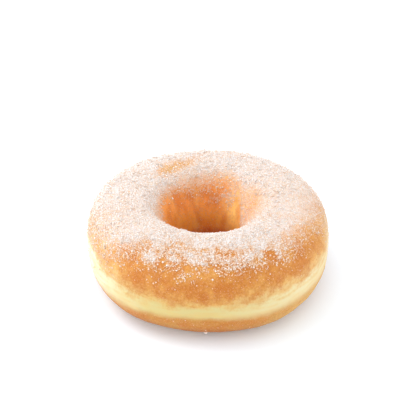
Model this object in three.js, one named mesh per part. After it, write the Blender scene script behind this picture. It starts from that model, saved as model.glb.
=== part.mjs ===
// A ring doughnut of raised, fried dough, as one solid about 91 mm across and 34 mm high.
// Millimetres, +Z up. The origin is on the axis of the hole, in the plane of the flat foot that the ring rests on.
import * as THREE from "three";
import { mergeVertices } from "three/addons/utils/BufferGeometryUtils.js";

// Driving dimensions.
const OUTER_RADIUS = 45.5; // at the widest line round the outside
const HEIGHT = 34; // of the crest over the foot
const CREST_RADIUS = 24; // of the ring of highest points
const HOLE_RADIUS = 12.5; // at the waist, where the hole is narrowest
const WAIST_HEIGHT = 15; // of the widest line outside and the narrowest line inside
const FOOT_PRESS = 0.6; // how much of the rounded underside is pressed flat

// How full each quarter of the section is: 2 is the quarter of an ellipse, more is squarer and less is leaner.
const SHOULDER_FULLNESS = 2.9;
const FUNNEL_FULLNESS = 1.85;
const OUTER_FOOT_FULLNESS = 2.5;
const INNER_FOOT_FULLNESS = 2.2;

// Slow waves round the ring, as hand-shaped dough has them: waves in a turn, size in mm, azimuth of a peak in degrees.
const OUTLINE_WAVES = [
  { count: 2, size: 0.38, peak: 159 },
  { count: 3, size: 0.25, peak: 161 },
  { count: 4, size: 0.45, peak: 45 },
  { count: 5, size: 0.25, peak: 155 },
];
const HOLE_WAVES = [
  { count: 1, size: 1.0, peak: 170 },
  { count: 2, size: 0.5, peak: 20 },
  { count: 3, size: 0.35, peak: 70 },
];
const CREST_WAVES = [
  { count: 1, size: 0.35, peak: 140 },
  { count: 2, size: 0.3, peak: 60 },
  { count: 4, size: 0.2, peak: 25 },
];

// Fineness of the faceted solid.
const ROUGH_STEPS = 288; // points of the formula that the smooth section runs through
const SECTION_STEPS = 44;
const RING_STEPS = 80;
const SEAM_TOLERANCE = 1e-3;

const CRUST_COLOUR = 0xdb9250;

// One axis of a superellipse: a cosine or sine, swelled by the fullness of its quarter.
function swelled(value, fullness) {
  return Math.sign(value) * Math.abs(value) ** (2 / fullness);
}

// The section's point at an angle round it: 0 is the widest line, a quarter turn the crest, a half turn the hole.
function sectionPoint(angle) {
  const across = Math.cos(angle);
  const up = Math.sin(angle);
  const outside = across >= 0;
  const above = up >= 0;
  const topFullness = outside ? SHOULDER_FULLNESS : FUNNEL_FULLNESS;
  const footFullness = outside ? OUTER_FOOT_FULLNESS : INNER_FOOT_FULLNESS;
  const fullness = above ? topFullness : footFullness;
  const width = outside ? OUTER_RADIUS - CREST_RADIUS : CREST_RADIUS - HOLE_RADIUS;
  const rise = above ? HEIGHT - WAIST_HEIGHT : WAIST_HEIGHT + FOOT_PRESS;
  const radius = CREST_RADIUS + width * swelled(across, fullness);
  const height = WAIST_HEIGHT + rise * swelled(up, fullness);
  return new THREE.Vector2(radius, Math.max(height, 0));
}

// The closed section, with its points evenly spaced and its pressed foot exactly flat.
function section() {
  const rough = [];
  for (let i = 0; i <= ROUGH_STEPS; i++) {
    rough.push(sectionPoint((2 * Math.PI * i) / ROUGH_STEPS));
  }
  const curve = new THREE.SplineCurve(rough);
  curve.arcLengthDivisions = 4 * ROUGH_STEPS;
  const points = curve.getSpacedPoints(SECTION_STEPS);
  for (const point of points) {
    point.y = Math.max(point.y, 0);
  }
  points[SECTION_STEPS].copy(points[0]);
  return points;
}

// The sum of some waves at an azimuth in radians.
function waveAt(waves, azimuth) {
  let sum = 0;
  for (const { count, size, peak } of waves) {
    sum += size * Math.cos(count * (azimuth - THREE.MathUtils.degToRad(peak)));
  }
  return sum;
}

// The section turned round the axis, then pushed out, in and up by the waves.
function ringGeometry() {
  const turned = new THREE.LatheGeometry(section(), RING_STEPS);
  turned.rotateX(Math.PI / 2);
  const place = turned.getAttribute("position");
  for (let i = 0; i < place.count; i++) {
    const x = place.getX(i);
    const y = place.getY(i);
    const azimuth = Math.atan2(y, x);
    const radius = Math.hypot(x, y);
    const outerShare = THREE.MathUtils.smoothstep(radius, HOLE_RADIUS, OUTER_RADIUS);
    const outlinePush = outerShare * waveAt(OUTLINE_WAVES, azimuth);
    const holePush = (1 - outerShare) * waveAt(HOLE_WAVES, azimuth);
    const pushed = radius + outlinePush + holePush;
    const lift = 1 + waveAt(CREST_WAVES, azimuth) / HEIGHT;
    place.setXYZ(i, pushed * Math.cos(azimuth), pushed * Math.sin(azimuth), place.getZ(i) * lift);
  }
  turned.deleteAttribute("normal");
  turned.deleteAttribute("uv");
  const closed = mergeVertices(turned, SEAM_TOLERANCE);
  closed.computeVertexNormals();
  return closed;
}

const crust = new THREE.MeshStandardMaterial({ color: CRUST_COLOUR, roughness: 0.6, metalness: 0 });
const ring = new THREE.Mesh(ringGeometry(), crust);
ring.name = "ring_doughnut";

const doughnut = new THREE.Group();
doughnut.add(ring);

export default doughnut;
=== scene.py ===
"""A ring doughnut dusted with sugar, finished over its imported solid.

The crust is a fine skin shrunk onto the solid, with the lumps, dimples and folds of fried dough. The sugar is
real crystals, scattered over the skin and heaped where it lies thickest.
"""

import math
from collections import namedtuple

import bpy
import numpy as np
from bpy.props import FloatProperty, FloatVectorProperty, IntProperty, PointerProperty
from bpy.types import Operator, Panel, PropertyGroup
from mathutils import Color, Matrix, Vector, noise


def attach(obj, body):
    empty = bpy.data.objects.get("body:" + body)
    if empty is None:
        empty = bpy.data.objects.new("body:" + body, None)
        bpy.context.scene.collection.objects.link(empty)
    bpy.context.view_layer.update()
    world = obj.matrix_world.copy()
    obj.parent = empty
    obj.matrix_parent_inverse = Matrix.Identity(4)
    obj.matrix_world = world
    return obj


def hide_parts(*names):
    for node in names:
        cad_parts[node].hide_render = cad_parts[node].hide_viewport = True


bl_info = {
    "name": "Sugared ring doughnut",
    "version": (1, 0, 0),
    "blender": (4, 5, 0),
    "location": "3D View > Sidebar > Doughnut",
    "description": "Builds the crust, the sugar and the stage of a sugared ring doughnut",
    "category": "Add Mesh",
}

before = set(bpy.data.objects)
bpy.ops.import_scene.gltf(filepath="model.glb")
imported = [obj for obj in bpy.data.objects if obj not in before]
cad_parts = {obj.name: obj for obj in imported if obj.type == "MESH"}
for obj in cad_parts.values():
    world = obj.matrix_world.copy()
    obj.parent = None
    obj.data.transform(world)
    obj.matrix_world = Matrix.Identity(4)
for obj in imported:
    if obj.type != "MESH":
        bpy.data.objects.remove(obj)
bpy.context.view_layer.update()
SOLID = "ring_doughnut"
MM = 0.001

# The UV map that a piece's finish is laid out on.
MAP = "OFBake"


# ---------------------------------------------------------------- measures of the ring

ON_LINE = 0.3 * MM  # a point this near to the widest or the highest counts as on that line
AT_WAIST = 1.5 * MM  # a point this near to the waist's height counts as level with it


class Ring:
    """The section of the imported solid, in metres: radii from the axis of the hole, and heights."""

    def __init__(self, solid):
        places = np.array([vertex.co for vertex in solid.data.vertices])
        radius = np.hypot(places[:, 0], places[:, 1])
        height = places[:, 2]
        self.top = float(height.max())
        self.waist = float(height[radius > radius.max() - ON_LINE].mean())
        self.crest = float(radius[height > self.top - ON_LINE].mean())
        level = abs(height - self.waist) < AT_WAIST
        self.outer = float(radius[level & (radius > self.crest)].mean())
        self.hole = float(radius[level & (radius < self.crest)].mean())

    def angles(self, places):
        """The azimuth, and the angle round the section: 0 is outside, 90 the crest and 180 the hole."""
        radius = np.hypot(places[:, 0], places[:, 1])
        azimuth = np.degrees(np.arctan2(places[:, 1], places[:, 0]))
        width = np.where(radius > self.crest, self.outer - self.crest, self.crest - self.hole)
        across = (radius - self.crest) / width
        up = (places[:, 2] - self.waist) / (self.top - self.waist)
        turn = np.degrees(np.arctan2(up, across))
        return azimuth, np.where(turn < -90, turn + 360, turn)


def smooth_step(value, low, high):
    """0 under low and 1 over high, with a soft rise between."""
    share = np.clip((value - low) / (high - low), 0, 1)
    return share * share * (3 - 2 * share)


def wrapped(angle):
    """The same angle in degrees, from -180 to 180."""
    return (angle + 180) % 360 - 180


def cloud(places, size, shift=0.0):
    """Smooth noise from -1 to 1 at each place, with swellings of about the given size.

    Each shift gives another noise.
    """
    offset = Vector((shift, 1.7 * shift, -2.3 * shift))
    return np.array([noise.noise(Vector(place) / size + offset) for place in places])


def round_the_ring(azimuth, knots, column=1):
    """A value at each azimuth, drawn through knots that start with their azimuth.

    The last knot leads on to the first.
    """
    at = np.array([knot[0] for knot in knots], float)
    value = np.array([knot[column] for knot in knots], float)
    at = np.concatenate([at - 360, at, at + 360])
    return np.interp(azimuth, at, np.tile(value, 3))


# A soft round spot at an azimuth and an angle round the section: half lengths in mm along the ring and
# across it, and how much it adds.
Patch = namedtuple("Patch", "azimuth turn along across amount")


def patchwork(places, ring, patches):
    """The sum of some soft spots at each place."""
    azimuth, turn = ring.angles(places)
    radius = np.hypot(places[:, 0], places[:, 1])
    tube = ring.top / 2
    total = np.zeros(len(places))
    for patch in patches:
        along = np.radians(wrapped(azimuth - patch.azimuth)) * radius / (patch.along * MM)
        across = np.radians(turn - patch.turn) * tube / (patch.across * MM)
        total += patch.amount * np.exp(-(along**2) - across**2)
    return total


# ---------------------------------------------------------------- shader expressions

# Sockets of the Mix node that take two colours and a share of the second, and the one that gives the result.
MIX_SHARE = 0
MIX_FIRST = 6
MIX_SECOND = 7
MIX_RESULT = 2


def linear(colour):
    """A screen colour as the light that it stands for, by the sRGB curve."""
    return tuple(c / 12.92 if c <= 0.04045 else ((c + 0.055) / 1.055) ** 2.4 for c in colour)


class Wire:
    """A socket that takes part in sums: each operation on it adds one Math node."""

    def __init__(self, paint, socket):
        self.paint = paint
        self.socket = socket

    def __add__(self, other):
        return self.paint.math("ADD", self, other)

    def __radd__(self, other):
        return self.paint.math("ADD", other, self)

    def __sub__(self, other):
        return self.paint.math("SUBTRACT", self, other)

    def __rsub__(self, other):
        return self.paint.math("SUBTRACT", other, self)

    def __mul__(self, other):
        return self.paint.math("MULTIPLY", self, other)

    def __rmul__(self, other):
        return self.paint.math("MULTIPLY", other, self)

    def __pow__(self, other):
        return self.paint.math("POWER", self, other)


class Paint:
    """A material and its nodes, written as expressions on wires."""

    def __init__(self, name):
        self.material = bpy.data.materials.new(name)
        self.material.use_nodes = True
        self.nodes = self.material.node_tree.nodes
        self.links = self.material.node_tree.links
        self.shader = self.nodes["Principled BSDF"]

    def plug(self, socket, value):
        """Puts a wire, a screen colour, a light as red, green and blue, or a plain value into a socket."""
        if isinstance(value, Wire):
            self.links.new(value.socket, socket)
        elif isinstance(value, Color):
            socket.default_value = (*linear(value), 1.0)
        elif socket.type == "RGBA":
            socket.default_value = (*value, 1.0)
        else:
            socket.default_value = value

    def node(self, kind, settings, sockets):
        """Adds a node: its settings are set first, then the values or wires of its sockets."""
        made = self.nodes.new(kind)
        for name, value in settings.items():
            setattr(made, name, value)
        for name, value in sockets.items():
            self.plug(made.inputs[name], value)
        return made

    def wire(self, node, output=0):
        """The socket that a node gives its result on."""
        return Wire(self, node.outputs[output])

    def math(self, operation, first, second):
        """One sum of two numbers or wires."""
        settings = {"operation": operation}
        return self.wire(self.node("ShaderNodeMath", settings, {0: first, 1: second}))

    def place(self):
        """The place on the piece, in metres."""
        return self.wire(self.node("ShaderNodeTexCoord", {}, {}), "Object")

    def stretched(self, place, scale):
        """The place with its axes stretched, for grain that runs one way."""
        sockets = {"Vector": place, "Scale": scale}
        return self.wire(self.node("ShaderNodeMapping", {}, sockets))

    def attribute(self, name):
        """A number that the piece's mesh holds."""
        node = self.node("ShaderNodeAttribute", {"attribute_name": name}, {})
        return self.wire(node, "Fac")

    def cloud(self, place, size, detail=2.0, roughness=0.5):
        """Noise from 0 to 1 with swellings of about the given size in metres."""
        sockets = {"Vector": place, "Scale": 1 / size, "Detail": detail, "Roughness": roughness}
        return self.wire(self.node("ShaderNodeTexNoise", {}, sockets), "Fac")

    def cells(self, place, size):
        """The distance from the middle of each of many random cells."""
        sockets = {"Vector": place, "Scale": 1 / size}
        return self.wire(self.node("ShaderNodeTexVoronoi", {}, sockets), "Distance")

    def step(self, value, low, high):
        """0 under low and 1 over high, with a soft rise between."""
        settings = {"interpolation_type": "SMOOTHSTEP"}
        sockets = {"Value": value, "From Min": low, "From Max": high}
        return self.wire(self.node("ShaderNodeMapRange", settings, sockets))

    def mix(self, share, first, second):
        """The first colour, with a share of the second."""
        sockets = {MIX_SHARE: share, MIX_FIRST: first, MIX_SECOND: second}
        return self.wire(self.node("ShaderNodeMix", {"data_type": "RGBA"}, sockets), MIX_RESULT)

    def bump(self, height, depth, under=None):
        """A normal dented by a height from 0 to 1, of the given depth in metres."""
        sockets = {"Height": height, "Distance": depth}
        if under is not None:
            sockets["Normal"] = under
        return self.wire(self.node("ShaderNodeBump", {}, sockets), "Normal")

    def finish(self, **sockets):
        """Sets the shader's own sockets, named with _ for a space."""
        for name, value in sockets.items():
            self.plug(self.shader.inputs[name.replace("_", " ")], value)
        return self.material


# ---------------------------------------------------------------- settings


def size_setting(name, description, default):
    return FloatProperty(name=name, description=description, default=default, min=0.0, unit="LENGTH")


def power_setting(name, description, default):
    return FloatProperty(name=name, description=description, default=default, min=0.0, unit="POWER")


def strength_setting(name, description, default):
    return FloatProperty(name=name, description=description, default=default, min=0.0)


def colour_setting(name, description, default):
    return FloatVectorProperty(
        name=name, description=description, default=default, size=3, min=0.0, max=1.0, subtype="COLOR_GAMMA"
    )


class CrustSettings(PropertyGroup):
    """Sizes and colours of the crust."""

    lumps: size_setting("Lumps", "Depth of the slow lumps of the dough", 0.35 * MM)
    dimples: size_setting("Dimples", "Depth of the shallow dimples", 0.13 * MM)
    grain: size_setting("Grain", "Depth of the fine unevenness of the skin", 0.035 * MM)
    creases: size_setting("Creases", "Depth of the folds that run down the hole", 0.55 * MM)
    golden: colour_setting("Golden", "Fried top", (0.84, 0.61, 0.305))
    brown: colour_setting("Brown", "Darker cloudings of the fried top", (0.735, 0.435, 0.15))
    pale: colour_setting("Pale", "Band round the middle that the fat doesn't reach", (0.80, 0.735, 0.495))
    # On the left of the band this also stands for painted light.
    cream: colour_setting("Cream", "Palest stretches of the band", (0.915, 0.875, 0.765))
    yellow: colour_setting("Yellow", "Warmer parts of the pale band", (0.84, 0.68, 0.375))
    tan: colour_setting("Tan", "Fried underside", (0.755, 0.53, 0.245))
    # Brown of the foot and of dark specks: toasting, and painted shade near the table and between sugar
    # grains.
    toasted_and_shade: colour_setting("Toasted", "Round the foot", (0.60, 0.33, 0.12))
    # Brighter and warmer than the golden top: partly the wall's own colour, partly painted bounce light
    # inside the hole.
    orange: colour_setting("Orange", "Wall of the hole", (0.99, 0.655, 0.345))
    straw: colour_setting("Straw", "Palest folds of the hole", (0.99, 0.80, 0.47))
    # Partly the band's own colour, partly painted shade with warm bounce light inside the hole.
    ochre: colour_setting("Ochre", "The band where it runs through the hole", (0.90, 0.61, 0.25))
    # Partly the underside's own colour, partly painted shade with warm bounce light low in the hole.
    deep: colour_setting("Deep", "Lowest part of the hole", (0.80, 0.405, 0.12))
    film: colour_setting("Film", "Crust under thin sugar dust", (0.915, 0.77, 0.65))
    white: colour_setting("White", "Crust under thick sugar dust", (0.89, 0.82, 0.77))


class SugarSettings(PropertyGroup):
    """Sizes, numbers and colours of the sugar."""

    amount: FloatProperty(
        name="Amount",
        description="Share of the full number of single grains",
        default=1.0,
        min=0.01,
        max=1.0,
        subtype="FACTOR",
    )
    clumps: IntProperty(name="Clumps", description="Little heaps of grains", default=500, min=1)
    clear: colour_setting("Clear", "Clearest grains, which the crust shows through", (0.92, 0.765, 0.63))
    milky: colour_setting("Milky", "Whitest grains", (0.935, 0.91, 0.90))


class StageSettings(PropertyGroup):
    """The floor, the light and the camera."""

    floor: size_setting("Floor", "Width of the floor", 12.0)
    distance: size_setting("Distance", "From the camera to the middle of the doughnut", 0.52)
    elevation: FloatProperty(
        name="Elevation",
        description="Height of the camera over the table, as an angle",
        default=math.radians(35),
        subtype="ANGLE",
    )
    paper: colour_setting("Paper", "The floor", (0.925, 0.96, 1.0))
    glow: strength_setting("Glow", "Light that the floor gives by itself", 0.11)
    sky: strength_setting("Sky", "Strength of the white light from all sides", 1.15)
    key: power_setting("Key", "Power of the high lamp", 5.7)
    left: power_setting("Left", "Power of the low lamp on the left", 2.3)
    right: power_setting("Right", "Power of the low lamp on the right", 1.85)


# ---------------------------------------------------------------- making and finishing


def deselect():
    """Leaves edit mode, and deselects everything."""
    if bpy.context.object and bpy.context.object.mode != "OBJECT":
        bpy.ops.object.mode_set(mode="OBJECT")
    bpy.ops.object.select_all(action="DESELECT")


def apply_modifier(piece, kind, **settings):
    """Adds a modifier to the active piece and applies it."""
    modifier = piece.modifiers.new(kind.title(), kind)
    for name, value in settings.items():
        setattr(modifier, name, value)
    bpy.ops.object.modifier_apply(modifier=modifier.name)


def places_of(mesh):
    """The place of each vertex, one to a row."""
    flat = np.empty(3 * len(mesh.vertices), np.float32)
    mesh.vertices.foreach_get("co", flat)
    return flat.reshape(-1, 3).astype(float)


def normals_of(mesh):
    """The normal at each vertex, one to a row."""
    flat = np.empty(3 * len(mesh.vertices), np.float32)
    mesh.vertex_normals.foreach_get("vector", flat)
    return flat.reshape(-1, 3).astype(float)


def set_places(mesh, places):
    """Moves each vertex to its row's place."""
    mesh.vertices.foreach_set("co", places.astype(np.float32).ravel())
    mesh.update()


def keep_number(mesh, name, values):
    """Stores a number at each vertex, for the material to read."""
    attribute = mesh.attributes.new(name, "FLOAT", "POINT")
    attribute.data.foreach_set("value", values.astype(np.float32))


def settle(piece, body):
    """Names the body that a finished piece moves with."""
    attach(piece, body)


# ---------------------------------------------------------------- where the sugar lies

# The dusting's fading edge, outside and in the hole: azimuth, the angle round the section at the middle of
# the edge, and how many degrees of the section lie between the middle and where it has faded.
OUTSIDE_EDGE = [
    (-158, 36, 30), (-143, 40, 30), (-128, 57, 28), (-113, 59, 26), (-98, 58, 24), (-83, 64, 26),
    (-68, 60, 24), (-53, 54, 24), (-38, 51, 26), (-23, 56, 30), (-8, 37, 38), (10, 30, 36),
    (40, 34, 28), (65, 38, 28), (90, 33, 28), (115, 37, 28), (140, 30, 28), (165, 27, 28),
]
HOLE_EDGE = [
    (-173, 141, 38), (-130, 144, 38), (-90, 146, 38), (-38, 152, 30), (-15, 168, 14), (8, 168, 8),
    (18, 165, 6), (30, 155, 6), (38, 146, 7), (45, 136, 14), (52, 131, 30), (67, 123, 34), (82, 127, 34),
    (97, 131, 30), (112, 131, 26), (127, 131, 22), (142, 131, 22), (157, 134, 24), (172, 138, 28),
]

# How much of the coarse sugar there is round the ring, from 0 to 1, by azimuth.
COARSE = [
    (-165, 0.3), (-143, 0.25), (-130, 0.5), (-116, 0.95), (-60, 1.0), (-48, 0.45), (-35, 0.15), (-8, 0.05),
    (20, 0.15), (50, 0.35), (120, 0.5),
]

STRAY = 0.025  # cover that single grains keep up right to the edge
STRAY_OUTSIDE = 1.5  # how far they go past the middle of the edge outside, in its fading lengths
STRAY_INSIDE = 1.4  # and in the hole
FUNNEL = (95, 120)  # angles round the section between which the sugar of the crest becomes that of the funnel

# Places where the dusting is thinner or thicker than round about.
PATCHES = [
    Patch(122, 93, 7.5, 4.5, -0.8),
    Patch(100, 88, 5.0, 3.0, -0.2),
    Patch(148, 103, 3.0, 2.0, 0.3),
    Patch(14, 135, 11.0, 9.0, -0.44),
    Patch(0, 58, 11.0, 8.0, -0.2),
    Patch(-112, 76, 4.5, 4.5, -0.3),
    Patch(-38, 66, 4.0, 2.5, -0.25),
    Patch(-84, 78, 3.0, 2.0, -0.2),
    Patch(-82, 69, 4.5, 1.5, -0.42),
    Patch(-94, 74, 3.0, 1.0, -0.25),
    Patch(-72, 65, 2.5, 1.2, -0.45),
    Patch(-55, 54, 2.2, 1.5, -0.8),
    Patch(-101, 50, 2.5, 1.6, -0.5),
    Patch(-131, 64, 3.0, 2.5, -0.25),
    Patch(-34, 54, 4.0, 3.0, -0.08),
    Patch(-50, 64, 2.0, 1.4, -0.25),
    Patch(-121, 51, 2.6, 2.4, 0.4),
    Patch(-75, 52, 4.0, 2.5, 0.3),
    Patch(77, 151, 1.8, 1.1, 1.0),
    Patch(86, 156, 1.4, 0.9, 0.9),
    Patch(68, 145, 1.5, 1.0, 1.0),
    Patch(55, 151, 3.2, 5.0, 0.8),
    Patch(105, 135, 9.0, 4.0, 0.12),
    Patch(-95, 84, 17.0, 4.0, -0.2),
    Patch(-168, 62, 9.0, 7.0, -0.2),
    Patch(98, 70, 10.0, 6.0, -0.12),
    Patch(-92, 46, 7.0, 2.0, 0.08),
    Patch(-101, 43, 2.5, 1.5, 0.4),
    Patch(160, 142, 3.0, 4.0, -0.25),
    Patch(140, 138, 4.0, 3.0, -0.2),
]


def mottling(places, turn, coarse):
    """Noise that gathers and thins the sugar: blotches where it is coarse, and fine grain in the funnel."""
    funnel = smooth_step(turn, *FUNNEL)
    blotches = 0.6 * cloud(places, 3.4 * MM, 17.1) + 0.75 * cloud(places, 1.5 * MM, 19.4)
    blotches *= (0.4 + 0.6 * coarse) * (1 - 0.75 * funnel)
    return blotches + 0.5 * funnel * cloud(places, 0.8 * MM, 21.7)


def sugar_cover(places, ring):
    """How thickly the sugar lies at each place, from 0 to 1."""
    azimuth, turn = ring.angles(places)
    outside, outside_fade = (round_the_ring(azimuth, OUTSIDE_EDGE, column) for column in (1, 2))
    inside, inside_fade = (round_the_ring(azimuth, HOLE_EDGE, column) for column in (1, 2))
    cover = smooth_step(turn, outside - outside_fade, outside + outside_fade)
    cover *= 1 - smooth_step(turn, inside - inside_fade, inside + inside_fade)
    cover = np.clip(cover + patchwork(places, ring, PATCHES), 0, 1)
    coarse = round_the_ring(azimuth, COARSE)
    cover += mottling(places, turn, coarse) * (0.14 + 0.16 * coarse + 1.25 * cover * (1 - cover))
    held = smooth_step(turn, outside - STRAY_OUTSIDE * outside_fade, outside)
    held *= 1 - smooth_step(turn, inside, inside + STRAY_INSIDE * inside_fade)
    return np.clip(np.maximum(cover, STRAY), 0, 1) * held**0.8


# ---------------------------------------------------------------- the crust

SKIN_TURNS = 96  # faces round the ring, before they are divided twice
SKIN_SECTION = 64  # faces round the section
INSET = MM  # how far the torus lies inside the middle of the ring, towards the crest
REACHED = 1.2  # how far from the torus's middle circle every point has to land, in radii of its tube
MOUTH = 125  # angle round the section where the funnel becomes the wall of the hole
FOOT_FADE = (0.2 * MM, 2.5 * MM)  # heights between which the relief grows, from the flat foot up
SIDE_RISE = 0.08 * MM  # how far the side stands out from the solid
TOP_SINK = 0.3 * MM  # how much less the top stands out, to leave room for the sugar
TOP_START = (40, 75)  # angles round the section between which the side becomes the top
FOLDS_START = (118, 150)  # angles between which the folds of the hole deepen
FOLDS_END = (205, 225)  # and between which they die away
INSIDE_START = (100, 150)  # angles between which the colours of the hole come in
INSIDE_END = (205, 245)  # and between which they go out
FOOT_TOAST_AND_SHADE = (1.0 * MM, 9.5 * MM)  # heights between which the darkening round the foot fades: toasting, and painted shade where the underside meets the table
BROWNEST = 1.7  # where the browning is darkest, across the band from 0 at its lower to 1 at its upper edge
BROWNED_WIDTH = 0.65  # half width of the browning, in the same measure
FOLD_PALENESS = 0.3  # how pale a fold is at its full depth

# The unevenness of the dough: the setting that gives its depth, the share of that depth, the size of its
# swellings in mm, and the shift of its noise.
Swell = namedtuple("Swell", "setting share size shift")
SWELLS = [
    Swell("lumps", 1.0, 15, 0.0),
    Swell("dimples", 1.0, 5, 3.1),
    Swell("dimples", 0.5, 2.6, 5.7),
    Swell("grain", 1.0, 1.3, 8.2),
]

# Folds that run down the hole: azimuth at its mouth, half width in degrees, share of the full depth, and
# slant, which is how far the fold wanders round the ring on its way down, as degrees of azimuth for each
# degree of the section.
Crease = namedtuple("Crease", "azimuth width depth slant")
CREASES = [
    Crease(108, 5.5, 1.0, 0.0),
    Crease(76, 3.5, 0.5, 0.0),
    Crease(50, 2.5, 1.0, -0.78),
    Crease(-12, 7.0, 0.4, 0.0),
    Crease(-62, 5.0, 0.8, 0.0),
    Crease(-105, 6.0, 0.5, 0.0),
    Crease(-140, 5.0, 0.9, 0.0),
    Crease(170, 4.5, 0.4, 0.0),
    Crease(142, 5.0, 0.45, 0.0),
]

# Height in mm of the pale band's lower and upper edge, round the ring by azimuth.
BAND_LOW = [
    (-145, 10.4), (-128, 10.9), (-115, 11.9), (-90, 12.9), (-64, 12.2), (-20, 12.6), (60, 12.6), (120, 11.8),
]
BAND_HIGH = [
    (-160, 26.5), (-143, 24.5), (-128, 21.8), (-115, 20.0), (-90, 19.2), (-66, 22.2), (-38, 22.6),
    (-20, 22.6), (-5, 26.0), (15, 26.5), (60, 20.2), (120, 21.0),
]

# How dark the top is browned just over the band, and how pale the band is, from 0 to 1, by azimuth; the
# band's paleness on the left is painted light falling from that side.
BROWNED = [
    (-150, 0.0), (-125, 0.4), (-105, 0.9), (-75, 0.9), (-55, 0.15), (-25, 0.0), (40, 0.2), (110, 0.6),
    (165, 0.2),
]
CREAM_AND_LIGHT = [
    (-165, 1.0), (-148, 0.75), (-135, 0.3), (-115, 0.0), (-90, 0.0), (-60, 0.3), (-38, 0.5), (-20, 0.55),
    (-5, 0.7), (80, 0.5), (150, 0.7),
]

# Where the fried crust is paler and yellower than round about.
PALER = [
    Patch(42, 155, 5.4, 8.0, 1.0),
    Patch(122, 93, 8.0, 5.0, 0.5),
    Patch(-15, 15, 12.0, 6.0, 0.25),
    Patch(-20, -18, 16.0, 6.0, 0.4),
    Patch(-46, -30, 15.0, 6.0, 0.6),
]

# Where the dough sinks in a little, by an amount in mm.
DENTS = [
    Patch(-160, 116, 6.0, 4.5, -0.5),
]


def skin_over(solid, ring):
    """A torus of fine faces, shrunk onto the solid and divided until it is smooth."""
    deselect()
    middle = (ring.outer + ring.hole) / 2 - INSET
    tube = (ring.outer - ring.hole) / 4
    bpy.ops.mesh.primitive_torus_add(
        location=(0, 0, ring.top / 2),
        major_radius=middle,
        minor_radius=tube,
        major_segments=SKIN_TURNS,
        minor_segments=SKIN_SECTION,
    )
    skin = bpy.context.object
    skin.name = "crust"
    skin.data.name = "crust"
    skin.data.uv_layers[0].name = MAP
    bpy.ops.object.transform_apply(location=True, rotation=True, scale=True)
    apply_modifier(skin, "SHRINKWRAP", target=solid, wrap_method="PROJECT", use_positive_direction=True)
    places = places_of(skin.data)
    outwards = np.hypot(places[:, 0], places[:, 1]) - middle
    upwards = places[:, 2] - ring.top / 2
    if np.hypot(outwards, upwards).min() < REACHED * tube:
        raise RuntimeError("the skin doesn't reach the solid everywhere")
    apply_modifier(skin, "SMOOTH", factor=0.5, iterations=3)
    apply_modifier(skin, "SUBSURF", levels=2, render_levels=2)
    return skin


def crease_depth(azimuth, turn):
    """How deep the folds of the hole are at each place, as a share of the full depth."""
    depth = np.zeros(len(azimuth))
    for crease in CREASES:
        off = wrapped(azimuth - crease.azimuth - crease.slant * (turn - MOUTH))
        depth += crease.depth * np.exp(-((off / crease.width) ** 2))
    return depth * smooth_step(turn, *FOLDS_START) * (1 - smooth_step(turn, *FOLDS_END))


def relief(places, ring, sizes):
    """How far the dough stands out at each place: lumps, dimples, skin grain and the folds of the hole."""
    azimuth, turn = ring.angles(places)
    out = np.zeros(len(places))
    for swell in SWELLS:
        depth = swell.share * getattr(sizes, swell.setting)
        out += depth * cloud(places, swell.size * MM, swell.shift)
    out -= sizes.creases * crease_depth(azimuth, turn)
    out += SIDE_RISE - TOP_SINK * smooth_step(turn, *TOP_START)
    out += MM * patchwork(places, ring, DENTS)
    return out * smooth_step(places[:, 2], *FOOT_FADE)


def shape_crust(skin, ring, sizes):
    """Raises the lumps and sinks the folds, and keeps the foot flat on the table."""
    places = places_of(skin.data)
    places += normals_of(skin.data) * relief(places, ring, sizes)[:, None]
    places[:, 2] = np.maximum(places[:, 2], 0)
    set_places(skin.data, places)


FIBRE_CIRCLE = 7.5  # radius of the noise's way once round the ring: a smaller one has longer fibres
FIBRE_THICKNESS = 1.1 * MM


def fibres(azimuth, height):
    """Noise from 0 to 1 in streaks that run round the ring, long and thin like the crumb of a risen side."""
    way = np.radians(azimuth)
    across = FIBRE_CIRCLE * np.cos(way)
    along = FIBRE_CIRCLE * np.sin(way)
    return 0.5 + 0.5 * cloud(np.column_stack([across, along, height / FIBRE_THICKNESS]), 1.0, 23.3)


def mark_crust(skin, ring):
    """Stores what the crust's material reads: band, browning, hole, pale parts and sugar."""
    places = places_of(skin.data)
    height = places[:, 2]
    azimuth, turn = ring.angles(places)
    low = round_the_ring(azimuth, BAND_LOW) * MM
    high = round_the_ring(azimuth, BAND_HIGH) * MM
    band = (height - low) / (high - low)
    browning = np.exp(-(((band - BROWNEST) / BROWNED_WIDTH) ** 2))
    paler = FOLD_PALENESS * crease_depth(azimuth, turn) + patchwork(places, ring, PALER)
    marks = {
        "band": band,
        "creamy": round_the_ring(azimuth, CREAM_AND_LIGHT),
        "fibres": fibres(azimuth, height),
        "foot": 1 - smooth_step(height, *FOOT_TOAST_AND_SHADE),
        "browned": round_the_ring(azimuth, BROWNED) * browning,
        "inside": smooth_step(turn, *INSIDE_START) * (1 - smooth_step(turn, *INSIDE_END)),
        "paler": np.clip(paler, 0, 1),
        "sugared": sugar_cover(places, ring),
        "coarse": round_the_ring(azimuth, COARSE),
    }
    for name, values in marks.items():
        keep_number(skin.data, name, values)


# Sizes of the crust's cloudings, from slow to fine as dust, of the streaks down the hole, and of the pores.
SLOW = 11 * MM
MIDDLING = 3.2 * MM
FINE = 0.8 * MM
DUST = 0.42 * MM
RUNS = 3.5 * MM
RUNS_STRETCH = (1.0, 1.0, 0.35)
PORES = 1.1 * MM


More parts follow.
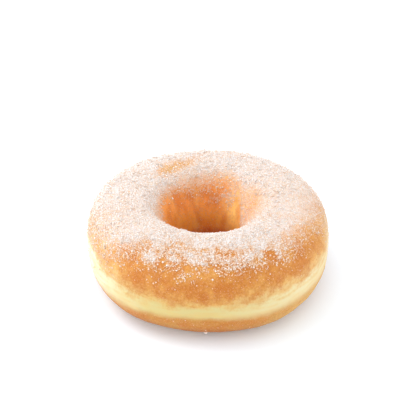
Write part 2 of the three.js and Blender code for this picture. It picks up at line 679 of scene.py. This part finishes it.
class CrustPaint(Paint):
    """The crust's colours, in layers: fried skin, pale band, folds and specks, and the dust of the sugar."""

    def __init__(self, colours):
        super().__init__("crust")
        self.colours = colours
        place = self.place()
        self.slow = self.cloud(place, SLOW)
        self.middling = self.cloud(place, MIDDLING, detail=3.0)
        self.fine = self.cloud(place, FINE, detail=3.0, roughness=0.6)
        self.dust = self.cloud(place, DUST, detail=1.0)
        self.runs = self.cloud(self.stretched(place, RUNS_STRETCH), RUNS, detail=3.0)
        self.pores = self.cells(place, PORES)
        self.band = self.attribute("band")
        self.streaks = self.attribute("fibres")
        self.inside = self.attribute("inside")
        self.coarse = self.attribute("coarse")
        self.sugared = self.attribute("sugared")
        ragged = (self.slow - 0.5) * 0.45 + (self.middling - 0.5) * 0.6 + (self.fine - 0.5) * 0.3
        self.rising = self.band + (self.streaks - 0.5) * 0.3 + ragged

    def pale_share(self):
        """How much of the pale band shows, from 0 to 1."""
        lower = self.band + (self.middling - 0.5) * 0.3 + (self.streaks - 0.5) * 0.15
        return self.step(lower, -0.22, 0.26) * (1 - self.step(self.rising, 0.4, 1.4))

    def fried(self):
        """The browned top, and the tan underside, darker towards the foot with toasting and with painted
        shade near the table.
        """
        colours = self.colours
        clouding = self.step(self.slow * 0.62 + self.middling * 0.38, 0.36, 0.64) * 0.88
        browned = self.attribute("browned") * self.step(self.middling, 0.1, 0.6)
        # Darker towards the foot: toasting, and painted shade where the underside meets the table.
        toast_and_shade = self.attribute("foot") * (0.48 + clouding * 0.6)
        top = self.mix(clouding, colours.golden, colours.brown)
        # The hole's wall: its own colour with painted warm bounce light.
        top = self.mix(self.inside, top, colours.orange)
        top = self.mix(browned, top, colours.brown)
        under = self.mix(clouding, colours.tan, colours.brown)
        under = self.mix(toast_and_shade, under, colours.toasted_and_shade)
        # Low in the hole: painted shade with warm bounce light over the underside's colour.
        under = self.mix(self.inside, under, colours.deep)
        return self.mix(self.step(self.band, 0.2, 0.6), under, top)

    def unfried(self):
        """The pale band: cream in places and palest on the left with painted light, yellow in streaks and at
        its upper edge, and ochre in the hole with painted shade and warm bounce light.
        """
        colours = self.colours
        streaky = self.step(self.streaks + self.middling * 0.5, 0.5, 1.05) * 0.35
        # Cream where the band is palest; its high share on the left is painted light.
        tone = self.mix(self.attribute("creamy"), colours.pale, colours.cream)
        tone = self.mix(streaky, tone, colours.yellow)
        tone = self.mix(self.step(self.rising, 0.5, 1.05) * 0.6, tone, colours.yellow)
        # In the hole the band is ochre: painted shade with warm bounce light.
        return self.mix(self.inside, tone, colours.ochre)

    def bare(self):
        """The crust with no sugar: band and fried skin, paler parts, dark runs in the hole, and specks."""
        colours = self.colours
        pale_share = self.pale_share()
        palest = self.mix(self.inside, colours.yellow, colours.straw)
        crust = self.mix(pale_share, self.fried(), self.unfried())
        crust = self.mix(self.attribute("paler"), crust, palest)
        crust = self.mix(self.inside * self.step(self.runs, 0.42, 0.66) * 0.5, crust, colours.deep)
        dark = self.step(self.fine, 0.42, 0.66) * (0.24 + self.inside * 0.04)
        light = self.step(self.dust, 0.54, 0.7) * (1 - self.inside) * 0.16
        speckled = self.mix(dark, crust, colours.toasted_and_shade)
        speckled = self.mix(light, speckled, colours.film)
        return self.mix(pale_share * (1 - self.inside * 0.8), speckled, crust)

    def dust_share(self):
        """How much of the crust the finest sugar covers, from 0 to 1, with gaps."""
        gaps = 1.1 + self.inside * 1.5 + self.coarse * 1.0
        fine_gaps = (self.fine - 0.5) * self.inside * 3.2
        ragged = (self.dust - 0.5) * gaps + (self.middling - 0.5) * 0.4 + fine_gaps
        return self.step(self.sugared * 1.25 + ragged, 0.1, 1.1)

    def dusting(self, thick):
        """The finest sugar: warm where it is thin, white where it is thick, with dark specks between that are
        partly crust and partly painted shade in the gaps between grains, and painted warm bounce light in the
        hole.
        """
        colours = self.colours
        smooth = 1 - self.coarse
        # Dark specks: partly crust showing through the dust, partly painted shade in the gaps between grains.
        specks = self.step(self.dust, 0.5, 0.66) * (0.26 - smooth * 0.2)
        specks += self.step(self.fine, 0.48, 0.6) * smooth**2 * 0.14
        tone = self.mix(thick * (0.6 + smooth * 0.4), colours.film, colours.white)
        tone = self.mix(specks, tone, colours.toasted_and_shade)
        # In the hole the dust is tinted orange: painted warm bounce light.
        return self.mix(self.inside * 0.15, tone, colours.orange)


def crust_material(colours):
    """Fried skin: golden and clouded on top, a pale band, tan underneath, dulled where the sugar lies."""
    paint = CrustPaint(colours)
    dusted = paint.dust_share()
    thick = paint.step(paint.sugared, 0.3, 0.95)
    colour = paint.mix(dusted * (0.6 + thick * 0.4), paint.bare(), paint.dusting(thick))
    grained = paint.bump(paint.fine, 0.07 * MM)
    return paint.finish(
        Base_Color=colour,
        Roughness=0.46 + paint.fine * 0.16 + dusted * 0.25,
        Normal=paint.bump(paint.pores, 0.03 * MM, under=grained),
        Subsurface_Weight=0.2,
        Subsurface_Radius=(1.0, 0.4, 0.15),
        Subsurface_Scale=1.5 * MM,
        Specular_IOR_Level=0.22,
    )


class DOUGHNUT_OT_crust(Operator):
    """Make the crust: the fine skin of the dough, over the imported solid"""

    bl_idname = "doughnut.crust"
    bl_label = "Crust"

    def execute(self, context):
        settings = context.scene.doughnut_crust
        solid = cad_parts[SOLID]
        ring = Ring(solid)
        skin = skin_over(solid, ring)
        shape_crust(skin, ring, settings)
        bpy.ops.object.shade_smooth()
        mark_crust(skin, ring)
        skin.data.materials.clear()
        skin.data.materials.append(crust_material(settings))
        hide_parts(SOLID)
        settle(skin, "root")
        return {"FINISHED"}


# ---------------------------------------------------------------- sugar crystals

# The kinds of grain: how large in mm, whether one is large enough to show a chip, how much they keep to the
# thick of the dusting and to its fringe, the share of their cover that goes on down the hole, how much they
# keep to where the sugar is coarse, and how many lie singly.
Kind = namedtuple(
    "Kind",
    "name smallest largest chipped thick fringe sinking coarse count",
    defaults=(0.0, 0.0, 0.0, 0.0, 0),
)
KINDS = [
    Kind("sugar_powder", 0.12, 0.19, False, 0.6, 0.0, 0.7, 0.0, 16000),
    Kind("sugar_dust", 0.18, 0.27, False, 0.8, 0.0, 0.6, 0.0, 16000),
    Kind("sugar_fine", 0.25, 0.36, False, 1.0, 0.0, 0.85, 0.2, 16000),
    Kind("sugar_caster", 0.34, 0.47, True, 1.1, 0.3, 0.5, 0.6, 11000),
    Kind("sugar_granulated", 0.42, 0.68, True, 1.3, 0.6, 0.02, 1.2, 3600),
]
HEAPED = Kind("sugar_heaps", 0.22, 0.42, True, thick=2.0, coarse=0.5)

# The few grains low on the front: their kind, how white they are from 0 to 1, and the azimuth and the angle
# round the section of each. The last is one large crystal.
LOW_GRAINS = [
    (
        Kind("sugar_clinging", 0.28, 0.42, True),
        0.3,
        [(-100, -14), (-97, -21), (-85, -24), (-79, -20), (-106, -18), (-70, -28), (-91, -30)],
    ),
    (Kind("sugar_crystal", 1.0, 1.1, True), 0.7, [(-91, -40)]),
]

# Shape of a grain 1 across: the size of its top, how far that is pushed aside, and where a corner is chipped.
TOP_SIZE = (0.78, 0.86, 1)
TOP_PUSH = (0.07, -0.04, 0)
CHIP_PLACE = (0.3, 0.3, 0.3)
CHIP_FACING = (1, 1, 0.9)

# The least and the greatest length, width and height of a grain, in its size.
GRAIN_FORM = ((0.85, 0.65, 0.45), (1.15, 1.0, 0.8))
STANDING = 0.28  # how high a grain's middle stands over the skin, in its own height
LYING = math.radians(25)  # how far a single grain may lean to each side
TUMBLED = math.radians(60)  # and one in a heap

HEAP_GRAINS = (7, 17)  # a heap has at least the first number of grains, and fewer than the second
HEAP_RADIUS = (0.45, 1.1)  # the least and the greatest, in mm
HEAP_HEIGHT = 0.65 * MM

HOLE_START = (108, 132)  # angles round the section between which the sugar becomes that of the hole: sparser, and with grains less white for painted warm bounce light
SINGLE_SEED = 100  # of the first kind that lies singly, and one more for each next kind
HEAP_SEED = 200  # of the heaps and of the grains low on the front

# Where grains lie: their places on the skin, the normals there, and how thick and white the sugar is.
Spots = namedtuple("Spots", "place normal thick")


def crystal(chipped):
    """The corners and faces of one grain, 1 across: a leaning block with a smaller top, and maybe a chip."""
    deselect()
    bpy.ops.mesh.primitive_cube_add(size=1)
    block = bpy.context.object
    bpy.ops.object.mode_set(mode="EDIT")
    bpy.ops.mesh.select_all(action="DESELECT")
    bpy.ops.object.mode_set(mode="OBJECT")
    for face in block.data.polygons:
        face.select = face.normal.z > 0.5
    bpy.ops.object.mode_set(mode="EDIT")
    bpy.ops.transform.resize(value=TOP_SIZE, center_override=(0, 0, 0.5))
    bpy.ops.transform.translate(value=TOP_PUSH)
    bpy.ops.mesh.select_all(action="SELECT")
    if chipped:
        bpy.ops.mesh.bisect(plane_co=CHIP_PLACE, plane_no=CHIP_FACING, use_fill=True, clear_outer=True)
    bpy.ops.mesh.select_all(action="SELECT")
    bpy.ops.mesh.normals_make_consistent(inside=False)
    bpy.ops.object.mode_set(mode="OBJECT")
    corners = places_of(block.data)
    faces = [list(face.vertices) for face in block.data.polygons]
    bpy.data.objects.remove(block)
    return corners, faces


class Skin:
    """The crust's triangles, to scatter on."""

    def __init__(self, crust, ring):
        mesh = crust.data
        mesh.calc_loop_triangles()
        flat = np.empty(3 * len(mesh.loop_triangles), np.int32)
        mesh.loop_triangles.foreach_get("vertices", flat)
        self.corners = flat.reshape(-1, 3)
        self.places = places_of(mesh)
        self.normals = normals_of(mesh)
        self.cover = sugar_cover(self.places, ring)
        self.azimuth, self.turn = ring.angles(self.places)
        self.deep = smooth_step(self.turn, *HOLE_START)
        self.coarse = round_the_ring(self.azimuth, COARSE)
        # Less white deep in the hole: painted warm bounce light.
        self.whiteness = self.cover * (1 - 0.85 * self.deep * (1 - self.cover**4)) * self.clearing()
        a, b, c = (self.places[self.corners[:, i]] for i in range(3))
        self.areas = np.linalg.norm(np.cross(b - a, c - a), axis=1) / 2

    def clearing(self):
        """What is left of the whiteness in each place: less in small patches where the sugar is fine."""
        clearer = smooth_step(cloud(self.places, 1.2 * MM, 27.3), -0.1, 0.4) * (1 - self.coarse) ** 2
        return 1 - 0.5 * clearer

    def scatter(self, kind, count, draw):
        """Random spots on the skin, more of them where the kind of grain lies thicker."""
        wanted = self.cover**kind.thick * (1 - kind.fringe * self.cover)
        wanted *= (1 - self.deep * (1 - kind.sinking)) * self.coarse**kind.coarse
        weight = self.areas * wanted[self.corners].mean(axis=1)
        chosen = draw.choice(len(weight), size=count, p=weight / weight.sum())
        share = draw.random((count, 2))
        folded = share.sum(axis=1) > 1
        share[folded] = 1 - share[folded]
        shares = np.column_stack([1 - share.sum(axis=1), share])
        corners = self.corners[chosen]
        place = (self.places[corners] * shares[:, :, None]).sum(axis=1)
        normal = (self.normals[corners] * shares[:, :, None]).sum(axis=1)
        thick = (self.whiteness[corners] * shares).sum(axis=1)
        return Spots(place, normal / np.linalg.norm(normal, axis=1)[:, None], thick)


def turned(normal, lean, draw):
    """A rotation for each grain: turned about, with its z axis leaning to each side of the normal."""
    count = len(normal)
    up = normal + np.tan(lean) * draw.uniform(-1, 1, (count, 3))
    up /= np.linalg.norm(up, axis=1)[:, None]
    side = np.cross(up, draw.normal(size=(count, 3)))
    side /= np.linalg.norm(side, axis=1)[:, None]
    return np.stack([side, np.cross(up, side), up], axis=2)


def joined_mesh(name, places, faces, count):
    """One mesh of many copies of a shape, each with its own corners and the same faces."""
    corners = len(places) // count
    loops = np.concatenate([np.array(face) for face in faces])
    sizes = np.array([len(face) for face in faces])
    all_loops = (loops[None] + corners * np.arange(count)[:, None]).ravel()
    all_sizes = np.tile(sizes, count)
    mesh = bpy.data.meshes.new(name)
    mesh.vertices.add(len(places))
    mesh.vertices.foreach_set("co", places.astype(np.float32).ravel())
    mesh.loops.add(len(all_loops))
    mesh.loops.foreach_set("vertex_index", all_loops.astype(np.int32))
    mesh.polygons.add(len(all_sizes))
    mesh.polygons.foreach_set("loop_start", (np.cumsum(all_sizes) - all_sizes).astype(np.int32))
    mesh.update(calc_edges=True)
    if mesh.validate():
        raise RuntimeError(name + " has broken faces")
    return mesh


def milkiness(kind, thick, draw):
    """How milky each grain is, from 0 to 1: the more so the thicker the sugar is round it."""
    share = smooth_step(thick, 0.25, 1.0)
    chance = draw.random(len(thick))
    spread = 0.35 + 0.5 * kind.coarse
    return (1 - share) * 0.65 * chance**2 + share * (0.65 + spread * (chance - 0.5))


def grains(kind, spots, lift, lean, draw, material):
    """Many crystals as one piece: each copied to its spot, at its size, and whiter where they lie thick, with
    painted warm bounce light low on each grain.
    """
    corners, faces = crystal(kind.chipped)
    count = len(spots.place)
    size = draw.uniform(kind.smallest * MM, kind.largest * MM, count)
    form = size[:, None] * draw.uniform(*GRAIN_FORM, (count, 3))
    spin = turned(spots.normal, lean, draw)
    shapes = np.einsum("nij,nkj->nki", spin, corners[None] * form[:, None])
    middle = spots.place + spots.normal * (lift + STANDING * form[:, 2])[:, None]
    mesh = joined_mesh(kind.name, (shapes + middle[:, None]).reshape(-1, 3), faces, count)
    milk = milkiness(kind, spots.thick, draw)
    # Less milky towards a grain's lower corners: painted warm bounce light where it meets the crust.
    keep_number(mesh, "milk", (milk[:, None] * (0.9 + 0.6 * corners[:, 2])[None]).ravel())
    lay_out(mesh, faces, count)
    mesh.materials.append(material)
    piece = bpy.data.objects.new(kind.name, mesh)
    bpy.context.scene.collection.objects.link(piece)
    settle(piece, "root")


FACE_REACH = 0.42  # how far a face's corners lie from the middle of its part of the map, whose side is 1


def lay_out(mesh, faces, count):
    """Gives each grain a square of the map, and each of its faces a part of that square."""
    across = math.ceil(math.sqrt(count))
    parts = math.ceil(math.sqrt(len(faces)))
    own = []
    for number, face in enumerate(faces):
        turn = 2 * np.pi * (np.arange(len(face)) + 0.5) / len(face)
        spot = np.column_stack([0.5 + FACE_REACH * np.cos(turn), 0.5 + FACE_REACH * np.sin(turn)])
        own.append((spot + divmod(number, parts)) / parts)
    own = np.concatenate(own)
    square = np.column_stack(np.divmod(np.arange(count), across))
    spots = (square[:, None] + own[None]).reshape(-1, 2) / across
    layer = mesh.uv_layers.new(name=MAP)
    layer.uv.foreach_set("vector", spots.astype(np.float32).ravel())


def sugar_material(colours):
    """Sugar: from clear to milky grains, each a little clouded, with glassy faces."""
    paint = Paint("sugar")
    haze = paint.cloud(paint.place(), 0.25 * MM)
    # Milkiness of the grains, with the painted warm bounce light that they carry.
    milk = paint.step(paint.attribute("milk") * 0.8 + haze * 0.4, 0.2, 0.9)
    return paint.finish(
        Base_Color=paint.mix(milk, colours.clear, colours.milky),
        Roughness=0.12 + milk * 0.3,
        Subsurface_Weight=0.4,
        Subsurface_Radius=(1.0, 1.0, 1.0),
        Subsurface_Scale=0.3 * MM,
        IOR=1.54,
    )


def heaped(skin, clumps, draw):
    """Spots for the grains of little heaps, and how high each lies: higher nearer to the heap's middle."""
    middles = skin.scatter(HEAPED, clumps, draw)
    numbers = draw.integers(*HEAP_GRAINS, clumps)
    radius = np.repeat(draw.uniform(*HEAP_RADIUS, clumps) * MM, numbers)
    middle, normal, thick = (np.repeat(each, numbers, axis=0) for each in middles)
    away = draw.normal(size=(len(middle), 3))
    away -= normal * (away * normal).sum(axis=1)[:, None]
    away /= np.linalg.norm(away, axis=1)[:, None]
    share = np.sqrt(draw.random(len(middle)))
    place = middle + away * (radius * share)[:, None]
    lift = draw.random(len(middle)) * (1 - share**2) * HEAP_HEIGHT
    return Spots(place, normal, thick), lift


def clinging(skin, angles, whiteness):
    """The spots on the skin nearest to some angles, with the whiteness given."""
    nearest = []
    for azimuth, turn in angles:
        off = abs(wrapped(skin.azimuth - azimuth)) + abs(skin.turn - turn)
        nearest.append(int(off.argmin()))
    return Spots(skin.places[nearest], skin.normals[nearest], np.full(len(nearest), whiteness))


class DOUGHNUT_OT_sugar(Operator):
    """Scatter the sugar, each kind as one piece: single grains, little heaps, and a few low on the front"""

    bl_idname = "doughnut.sugar"
    bl_label = "Sugar"

    def execute(self, context):
        settings = context.scene.doughnut_sugar
        skin = Skin(bpy.data.objects["crust"], Ring(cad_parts[SOLID]))
        material = sugar_material(settings)
        for number, kind in enumerate(KINDS):
            draw = np.random.default_rng(SINGLE_SEED + number)
            spots = skin.scatter(kind, math.ceil(kind.count * settings.amount), draw)
            grains(kind, spots, 0.0, LYING, draw, material)
        draw = np.random.default_rng(HEAP_SEED)
        spots, lift = heaped(skin, settings.clumps, draw)
        grains(HEAPED, spots, lift, TUMBLED, draw, material)
        for kind, whiteness, angles in LOW_GRAINS:
            grains(kind, clinging(skin, angles, whiteness), 0.0, LYING, draw, material)
        return {"FINISHED"}


# ---------------------------------------------------------------- the stage

FOCAL = 118.6  # mm of lens
SENSOR = 36  # mm across
NEAREST = 10 * MM  # what is nearer to the camera than this isn't seen
AIM_HEIGHT = 17 * MM
FRAME_SHIFT = (0.0052, 0.0643)  # how far the doughnut sits left of and below the middle, in picture widths
FLOOR_GLOW = (1.0, 1.0, 0.84)  # red, green and blue of the light that the floor gives

# The soft lamps: the setting that gives the power, the place in metres, and the width.
Lamp = namedtuple("Lamp", "setting place width")
LAMPS = [
    Lamp("key", (-0.76, 0.3, 0.88), 0.7),
    Lamp("left", (-0.95, -0.25, 0.32), 0.6),
    Lamp("right", (0.95, -0.25, 0.32), 0.6),
]


def floor_material(colour, glow):
    """White paper, with the faint glow of a surface that is lit from below as well."""
    paint = Paint("floor")
    return paint.finish(
        Base_Color=colour,
        Roughness=0.9,
        Specular_IOR_Level=0.2,
        Emission_Color=FLOOR_GLOW,
        Emission_Strength=glow,
    )


def lamp(name, place, width, power, aim):
    """A square soft lamp that faces the aim."""
    light = bpy.data.lights.new(name, "AREA")
    light.size = width
    light.energy = power
    lamp_object = bpy.data.objects.new(name, light)
    lamp_object.location = place
    lamp_object.rotation_euler = (Vector(aim) - Vector(place)).to_track_quat("-Z", "Y").to_euler()
    bpy.context.scene.collection.objects.link(lamp_object)


def sky(strength):
    """White light from all sides."""
    world = bpy.data.worlds.new("sky")
    world.use_nodes = True
    background = world.node_tree.nodes["Background"]
    background.inputs["Color"].default_value = (1, 1, 1, 1)
    background.inputs["Strength"].default_value = strength
    bpy.context.scene.world = world


def camera(distance, elevation):
    """The camera, straight in front of the doughnut, raised by the elevation and aimed at its middle."""
    data = bpy.data.cameras.new("camera")
    data.lens = FOCAL
    data.sensor_width = SENSOR
    data.shift_x, data.shift_y = FRAME_SHIFT
    data.clip_start = NEAREST
    aim = Vector((0, 0, AIM_HEIGHT))
    back = Vector((0, -math.cos(elevation), math.sin(elevation)))
    view = bpy.data.objects.new("camera", data)
    view.location = aim + distance * back
    view.rotation_euler = (-back).to_track_quat("-Z", "Y").to_euler()
    bpy.context.scene.collection.objects.link(view)
    bpy.context.scene.camera = view


class DOUGHNUT_OT_stage(Operator):
    """Set the stage: a plain white floor, soft light from all sides, three lamps, and the camera"""

    bl_idname = "doughnut.stage"
    bl_label = "Stage"

    def execute(self, context):
        settings = context.scene.doughnut_stage
        deselect()
        bpy.ops.mesh.primitive_plane_add(size=settings.floor)
        floor = context.object
        floor.name = "floor"
        floor.data.materials.append(floor_material(settings.paper, settings.glow))
        sky(settings.sky)
        for each in LAMPS:
            power = getattr(settings, each.setting)
            lamp(each.setting, each.place, each.width, power, (0, 0, AIM_HEIGHT))
        camera(settings.distance, settings.elevation)
        context.scene.view_settings.view_transform = "Standard"
        return {"FINISHED"}


# ---------------------------------------------------------------- the panel


class DOUGHNUT_PT_build(Panel):
    """The sizes and colours, over the button that makes each piece"""

    bl_idname = "DOUGHNUT_PT_build"
    bl_label = "Sugared ring doughnut"
    bl_space_type = "VIEW_3D"
    bl_region_type = "UI"
    bl_category = "Doughnut"

    def draw(self, context):
        groups = {
            "doughnut.crust": context.scene.doughnut_crust,
            "doughnut.sugar": context.scene.doughnut_sugar,
            "doughnut.stage": context.scene.doughnut_stage,
        }
        for operator, settings in groups.items():
            box = self.layout.box()
            for name in type(settings).__annotations__:
                box.prop(settings, name)
            box.operator(operator)


CLASSES = [
    CrustSettings,
    SugarSettings,
    StageSettings,
    DOUGHNUT_OT_crust,
    DOUGHNUT_OT_sugar,
    DOUGHNUT_OT_stage,
    DOUGHNUT_PT_build,
]


def register():
    for each in CLASSES:
        bpy.utils.register_class(each)
    bpy.types.Scene.doughnut_crust = PointerProperty(type=CrustSettings)
    bpy.types.Scene.doughnut_sugar = PointerProperty(type=SugarSettings)
    bpy.types.Scene.doughnut_stage = PointerProperty(type=StageSettings)


def unregister():
    del bpy.types.Scene.doughnut_stage
    del bpy.types.Scene.doughnut_sugar
    del bpy.types.Scene.doughnut_crust
    for each in reversed(CLASSES):
        bpy.utils.unregister_class(each)


def main():
    register()
    bpy.ops.doughnut.crust()
    bpy.ops.doughnut.sugar()
    bpy.ops.doughnut.stage()


if __name__ == "__main__":
    main()
